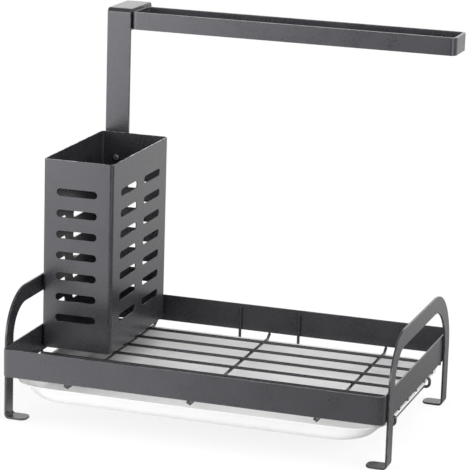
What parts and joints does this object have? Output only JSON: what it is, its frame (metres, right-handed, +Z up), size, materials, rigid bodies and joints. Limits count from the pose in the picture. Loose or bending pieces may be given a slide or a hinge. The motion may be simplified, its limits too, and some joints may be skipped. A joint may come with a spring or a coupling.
{
  "type": "sink organizer",
  "caption": "Wire bottomed sink tray on two arched side frames, with a slotted utensil holder, a post that carries a towel arm, and a pull-out drip tray.",
  "frame": {"origin": "middle of the bounding box's base, on the counter", "axes": "+X along the tray's long side to the right, +Y from the front to the rear, +Z up"},
  "size_m": [0.3656, 0.2932, 0.352],
  "materials": {
    "powder_coated_steel": "fine textured semi-matt powder coat, dark charcoal grey",
    "white_plastic": "smooth moulded plastic with a soft sheen",
    "screws": "black zinc"
  },
  "bodies": {
    "organizer": {"arm_nut": "screws", "arm_screw": "screws", "cap_plate": "powder_coated_steel", "cross_wire_1": "powder_coated_steel", "cross_wire_2": "powder_coated_steel", "cross_wire_3": "powder_coated_steel", "left_runner": "powder_coated_steel", "holder_floor": "powder_coated_steel", "left_arch": "powder_coated_steel", "left_rear_stop": "powder_coated_steel", "long_wire_1": "powder_coated_steel", "long_wire_2": "powder_coated_steel", "long_wire_3": "powder_coated_steel", "long_wire_4": "powder_coated_steel", "long_wire_5": "powder_coated_steel", "long_wire_6": "powder_coated_steel", "long_wire_7": "powder_coated_steel", "lower_post_nut": "screws", "lower_post_screw": "screws", "post": "powder_coated_steel", "right_runner": "powder_coated_steel", "right_arch": "powder_coated_steel", "right_rear_stop": "powder_coated_steel", "towel_arm": "powder_coated_steel", "tray_rim": "powder_coated_steel", "upper_post_nut": "screws", "upper_post_screw": "screws", "utensil_holder": "powder_coated_steel"},
    "tray": {"drip_tray": "white_plastic"}
  },
  "joints": [
    {"name": "drip_tray_slide", "type": "slide", "parent": "organizer", "child": "tray", "axis": [0, -1, 0], "range_m": [0, 0.25]}
  ]
}
